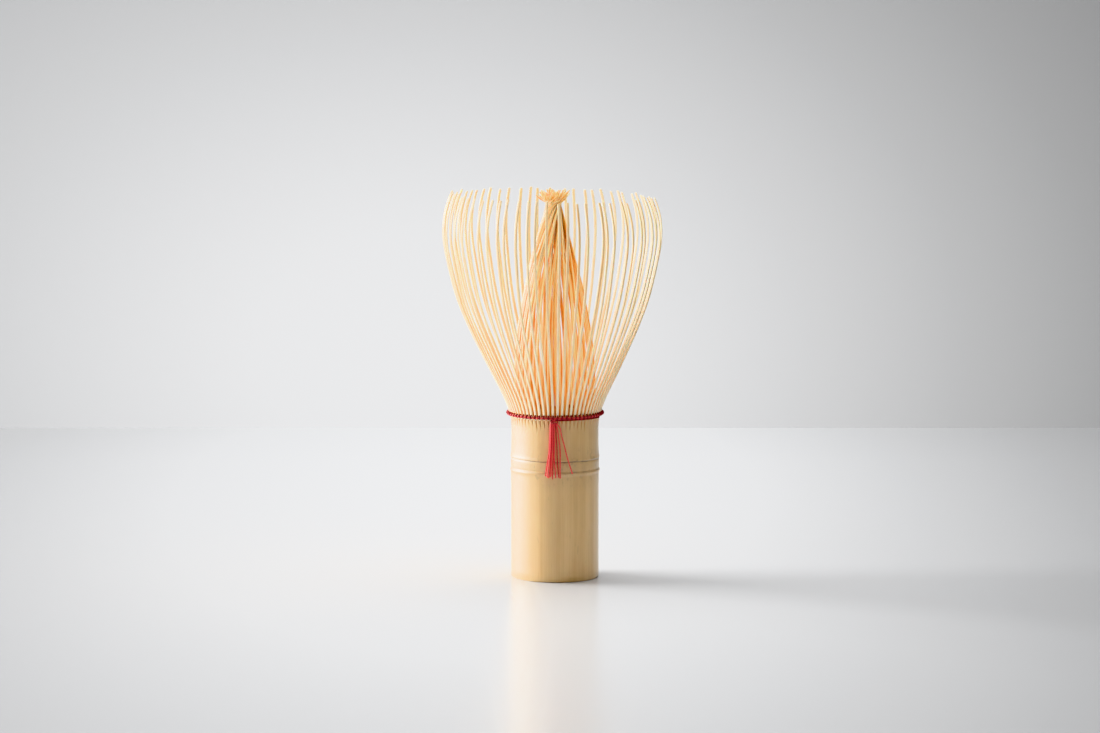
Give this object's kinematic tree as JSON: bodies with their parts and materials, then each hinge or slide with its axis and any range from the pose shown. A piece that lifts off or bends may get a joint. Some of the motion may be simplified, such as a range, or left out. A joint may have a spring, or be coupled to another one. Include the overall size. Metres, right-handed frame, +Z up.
{
  "type": "bamboo tea whisk",
  "caption": "Hand whisk for powdered tea: a hollow bamboo handle split into springy flared outer tines round a twisted inner cone, laced with red thread that ends in a tassel.",
  "frame": {"origin": "centre of the flat base of the handle", "axes": "+Z up the handle towards the tines; -Y is the front, where the knot and tassel are; +X is to the right seen from the front"},
  "size_m": [0.0636, 0.0636, 0.1121],
  "materials": {
    "bamboo_culm": "dried bamboo skin, satin",
    "bamboo_outer_tine": "shaved bamboo, satin",
    "bamboo_inner_tine": "shaved bamboo, satin",
    "red_thread": "twisted cotton thread, matt"
  },
  "bodies": {
    "whisk": {"handle": "bamboo_culm", "inner_tines_01": "bamboo_inner_tine", "inner_tines_02": "bamboo_inner_tine", "inner_tines_03": "bamboo_inner_tine", "inner_tines_04": "bamboo_inner_tine", "inner_tines_05": "bamboo_inner_tine", "inner_tines_06": "bamboo_inner_tine", "inner_tines_07": "bamboo_inner_tine", "inner_tines_08": "bamboo_inner_tine", "inner_tines_09": "bamboo_inner_tine", "inner_tines_10": "bamboo_inner_tine", "inner_tines_11": "bamboo_inner_tine", "inner_tines_12": "bamboo_inner_tine", "inner_tines_13": "bamboo_inner_tine", "inner_tines_14": "bamboo_inner_tine", "inner_tines_15": "bamboo_inner_tine", "inner_tines_16": "bamboo_inner_tine", "lacing_inner_round": "red_thread", "lacing_outer_round": "red_thread"},
    "outer_segment_01": {"outer_tines_01": "bamboo_outer_tine"},
    "outer_segment_02": {"outer_tines_02": "bamboo_outer_tine"},
    "outer_segment_03": {"outer_tines_03": "bamboo_outer_tine"},
    "outer_segment_04": {"outer_tines_04": "bamboo_outer_tine"},
    "outer_segment_05": {"outer_tines_05": "bamboo_outer_tine"},
    "outer_segment_06": {"outer_tines_06": "bamboo_outer_tine"},
    "outer_segment_07": {"outer_tines_07": "bamboo_outer_tine"},
    "outer_segment_08": {"outer_tines_08": "bamboo_outer_tine"},
    "outer_segment_09": {"outer_tines_09": "bamboo_outer_tine"},
    "outer_segment_10": {"outer_tines_10": "bamboo_outer_tine"},
    "outer_segment_11": {"outer_tines_11": "bamboo_outer_tine"},
    "outer_segment_12": {"outer_tines_12": "bamboo_outer_tine"},
    "outer_segment_13": {"outer_tines_13": "bamboo_outer_tine"},
    "outer_segment_14": {"outer_tines_14": "bamboo_outer_tine"},
    "outer_segment_15": {"outer_tines_15": "bamboo_outer_tine"},
    "outer_segment_16": {"outer_tines_16": "bamboo_outer_tine"},
    "knot": {"knot": "red_thread"},
    "tassel": {"tassel_strand_1": "red_thread", "tassel_strand_2": "red_thread", "tassel_strand_3": "red_thread", "tassel_strand_4": "red_thread", "tassel_strand_5": "red_thread", "tassel_strand_6": "red_thread", "tassel_strand_7": "red_thread", "tassel_strand_8": "red_thread", "tassel_strand_9": "red_thread"}
  },
  "joints": [
    {"name": "outer_segment_01_flex", "type": "hinge", "parent": "whisk", "child": "outer_segment_01", "pos_m": [0.01285, 0, 0.048], "axis": [0, 1, 0], "range_deg": [-3.5, 6], "stiffness_Nm_per_rad": 0.025},
    {"name": "outer_segment_02_flex", "type": "hinge", "parent": "whisk", "child": "outer_segment_02", "pos_m": [0.01187, 0.00492, 0.048], "axis": [-0.3827, 0.9239, 0], "range_deg": [-3.5, 6], "stiffness_Nm_per_rad": 0.025},
    {"name": "outer_segment_03_flex", "type": "hinge", "parent": "whisk", "child": "outer_segment_03", "pos_m": [0.00909, 0.00909, 0.048], "axis": [-0.7071, 0.7071, 0], "range_deg": [-3.5, 6], "stiffness_Nm_per_rad": 0.025},
    {"name": "outer_segment_04_flex", "type": "hinge", "parent": "whisk", "child": "outer_segment_04", "pos_m": [0.00492, 0.01187, 0.048], "axis": [-0.9239, 0.3827, 0], "range_deg": [-3.5, 6], "stiffness_Nm_per_rad": 0.025},
    {"name": "outer_segment_05_flex", "type": "hinge", "parent": "whisk", "child": "outer_segment_05", "pos_m": [0, 0.01285, 0.048], "axis": [-1, 0, 0], "range_deg": [-3.5, 6], "stiffness_Nm_per_rad": 0.025},
    {"name": "outer_segment_06_flex", "type": "hinge", "parent": "whisk", "child": "outer_segment_06", "pos_m": [-0.00492, 0.01187, 0.048], "axis": [-0.9239, -0.3827, 0], "range_deg": [-3.5, 6], "stiffness_Nm_per_rad": 0.025},
    {"name": "outer_segment_07_flex", "type": "hinge", "parent": "whisk", "child": "outer_segment_07", "pos_m": [-0.00909, 0.00909, 0.048], "axis": [-0.7071, -0.7071, 0], "range_deg": [-3.5, 6], "stiffness_Nm_per_rad": 0.025},
    {"name": "outer_segment_08_flex", "type": "hinge", "parent": "whisk", "child": "outer_segment_08", "pos_m": [-0.01187, 0.00492, 0.048], "axis": [-0.3827, -0.9239, 0], "range_deg": [-3.5, 6], "stiffness_Nm_per_rad": 0.025},
    {"name": "outer_segment_09_flex", "type": "hinge", "parent": "whisk", "child": "outer_segment_09", "pos_m": [-0.01285, 0, 0.048], "axis": [0, -1, 0], "range_deg": [-3.5, 6], "stiffness_Nm_per_rad": 0.025},
    {"name": "outer_segment_10_flex", "type": "hinge", "parent": "whisk", "child": "outer_segment_10", "pos_m": [-0.01187, -0.00492, 0.048], "axis": [0.3827, -0.9239, 0], "range_deg": [-3.5, 6], "stiffness_Nm_per_rad": 0.025},
    {"name": "outer_segment_11_flex", "type": "hinge", "parent": "whisk", "child": "outer_segment_11", "pos_m": [-0.00909, -0.00909, 0.048], "axis": [0.7071, -0.7071, 0], "range_deg": [-3.5, 6], "stiffness_Nm_per_rad": 0.025},
    {"name": "outer_segment_12_flex", "type": "hinge", "parent": "whisk", "child": "outer_segment_12", "pos_m": [-0.00492, -0.01187, 0.048], "axis": [0.9239, -0.3827, 0], "range_deg": [-3.5, 6], "stiffness_Nm_per_rad": 0.025},
    {"name": "outer_segment_13_flex", "type": "hinge", "parent": "whisk", "child": "outer_segment_13", "pos_m": [0, -0.01285, 0.048], "axis": [1, 0, 0], "range_deg": [-3.5, 6], "stiffness_Nm_per_rad": 0.025},
    {"name": "outer_segment_14_flex", "type": "hinge", "parent": "whisk", "child": "outer_segment_14", "pos_m": [0.00492, -0.01187, 0.048], "axis": [0.9239, 0.3827, 0], "range_deg": [-3.5, 6], "stiffness_Nm_per_rad": 0.025},
    {"name": "outer_segment_15_flex", "type": "hinge", "parent": "whisk", "child": "outer_segment_15", "pos_m": [0.00909, -0.00909, 0.048], "axis": [0.7071, 0.7071, 0], "range_deg": [-3.5, 6], "stiffness_Nm_per_rad": 0.025},
    {"name": "outer_segment_16_flex", "type": "hinge", "parent": "whisk", "child": "outer_segment_16", "pos_m": [0.01187, -0.00492, 0.048], "axis": [0.3827, 0.9239, 0], "range_deg": [-3.5, 6], "stiffness_Nm_per_rad": 0.025},
    {"name": "tassel_lift", "type": "hinge", "parent": "whisk", "child": "knot", "pos_m": [-0.0004, -0.01365, 0.04685], "axis": [-1, 0, 0], "range_deg": [0, 120]},
    {"name": "tassel_sway", "type": "hinge", "parent": "knot", "child": "tassel", "pos_m": [-0.0004, -0.01365, 0.04685], "axis": [0, 1, 0], "range_deg": [-45, 45]}
  ]
}
